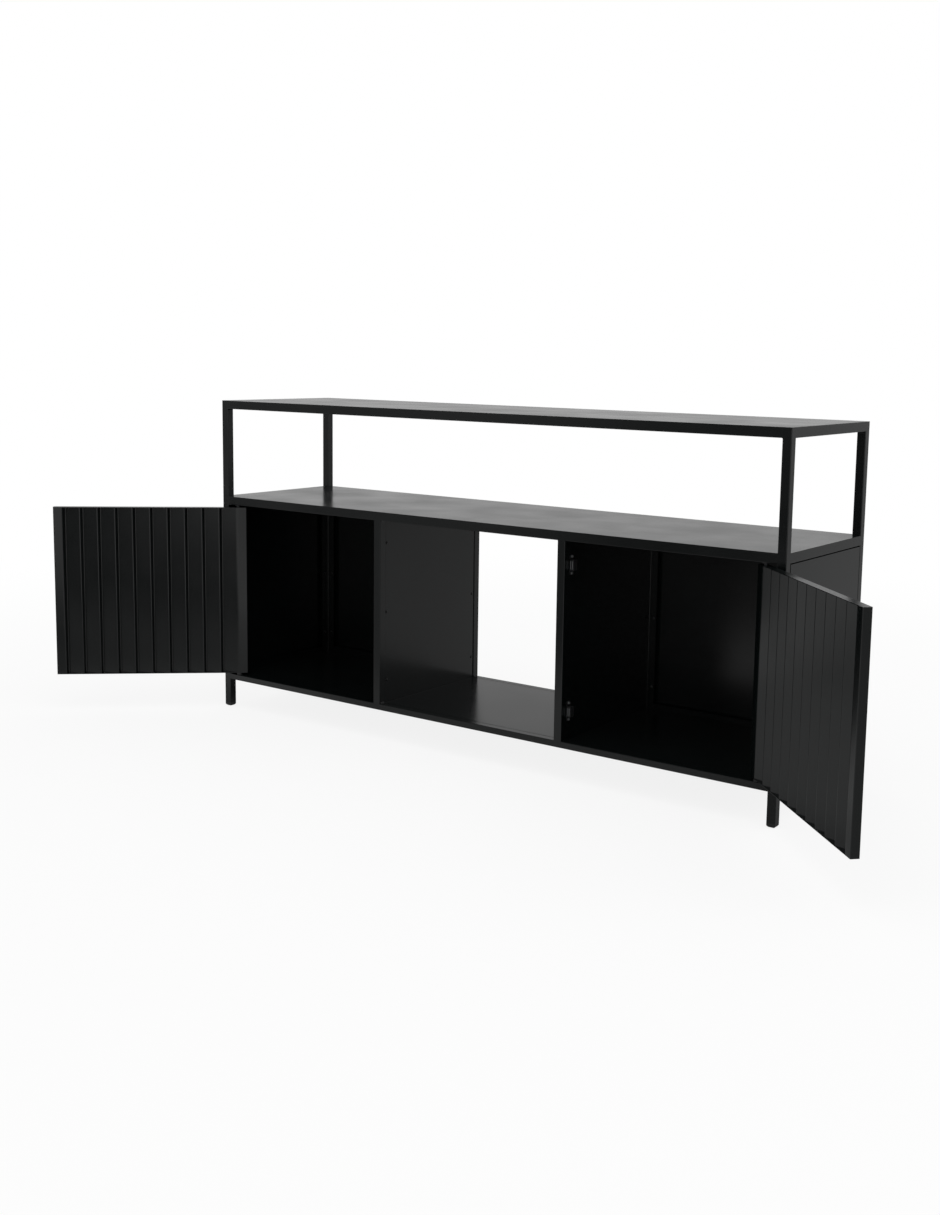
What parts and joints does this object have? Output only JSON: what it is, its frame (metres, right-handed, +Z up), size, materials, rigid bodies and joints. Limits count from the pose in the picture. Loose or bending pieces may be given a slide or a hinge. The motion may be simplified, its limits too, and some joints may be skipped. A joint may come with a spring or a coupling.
{
  "type": "sideboard buffet",
  "caption": "Long low steel sideboard buffet: square-tube frame, open bay under a flat top, open middle compartment between lockers with reeded swing doors, drawn open.",
  "frame": {"origin": "on the floor under the centre of the bounding box of the whole part as drawn, doors open", "axes": "+X to the right as seen from the front, +Y from the front to the back, +Z up"},
  "size_m": [2.206, 0.7204, 0.813],
  "materials": {
    "black_tube": "glossy powder coat",
    "black_sheet": "satin-gloss powder coat",
    "black_plastic": "matte",
    "catch_grey": "matte",
    "bright_steel": "zinc plated",
    "black_screws": "black zinc"
  },
  "bodies": {
    "frame": {"front_left_post": "black_tube", "front_right_post": "black_tube", "rear_left_post": "black_tube", "rear_right_post": "black_tube", "foot_glides": "black_plastic", "top_front_rail": "black_tube", "top_rear_rail": "black_tube", "top_left_rail": "black_tube", "top_right_rail": "black_tube", "top_cross_rails": "black_tube", "top_panel": "black_sheet", "shelf_front_rail": "black_tube", "shelf_rear_rail": "black_tube", "shelf_left_rail": "black_tube", "shelf_right_rail": "black_tube", "shelf_cross_rails": "black_tube", "shelf_panel": "black_sheet", "base_front_rail": "black_tube", "base_rear_rail": "black_tube", "base_left_rail": "black_tube", "base_right_rail": "black_tube", "base_cross_rails": "black_tube", "left_floor_panel": "black_sheet", "centre_floor_panel": "black_sheet", "right_floor_panel": "black_sheet", "floor_ledges": "black_tube", "left_divider_front_post": "black_tube", "left_divider_rear_post": "black_tube", "left_divider_pan": "black_sheet", "left_divider_cover": "black_sheet", "right_divider_front_post": "black_tube", "right_divider_rear_post": "black_tube", "right_divider_pan": "black_sheet", "right_divider_cover": "black_sheet", "left_side_panel": "black_sheet", "right_side_panel": "black_sheet", "left_back_panel": "black_sheet", "right_back_panel": "black_sheet", "side_panel_ledges": "black_tube", "back_panel_ledges": "black_tube", "panel_screws": "black_screws", "weld_fillets": "black_tube", "upper_pivot_bushes": "black_plastic", "lower_pivot_bushes": "black_plastic", "catch_plates": "catch_grey", "catch_housings": "catch_grey", "catch_magnets": "bright_steel", "catch_screws": "bright_steel"},
    "left_door": {"left_door_pan": "black_sheet", "left_door_front_sheet": "black_sheet", "left_door_hinge_stile": "black_tube", "left_door_latch_stile": "black_tube", "left_door_pivot_pins": "bright_steel"},
    "right_door": {"right_door_pan": "black_sheet", "right_door_front_sheet": "black_sheet", "right_door_hinge_stile": "black_tube", "right_door_latch_stile": "black_tube", "right_door_pivot_pins": "bright_steel"}
  },
  "joints": [
    {"name": "left_door_pivot", "type": "hinge", "parent": "frame", "child": "left_door", "pos_m": [-0.74841, -0.03084, 0.316], "axis": [0, 0, 1], "range_deg": [-4, 138]},
    {"name": "right_door_pivot", "type": "hinge", "parent": "frame", "child": "right_door", "pos_m": [0.75659, -0.03084, 0.316], "axis": [0, 0, 1], "range_deg": [-136.5, 5.5]}
  ]
}
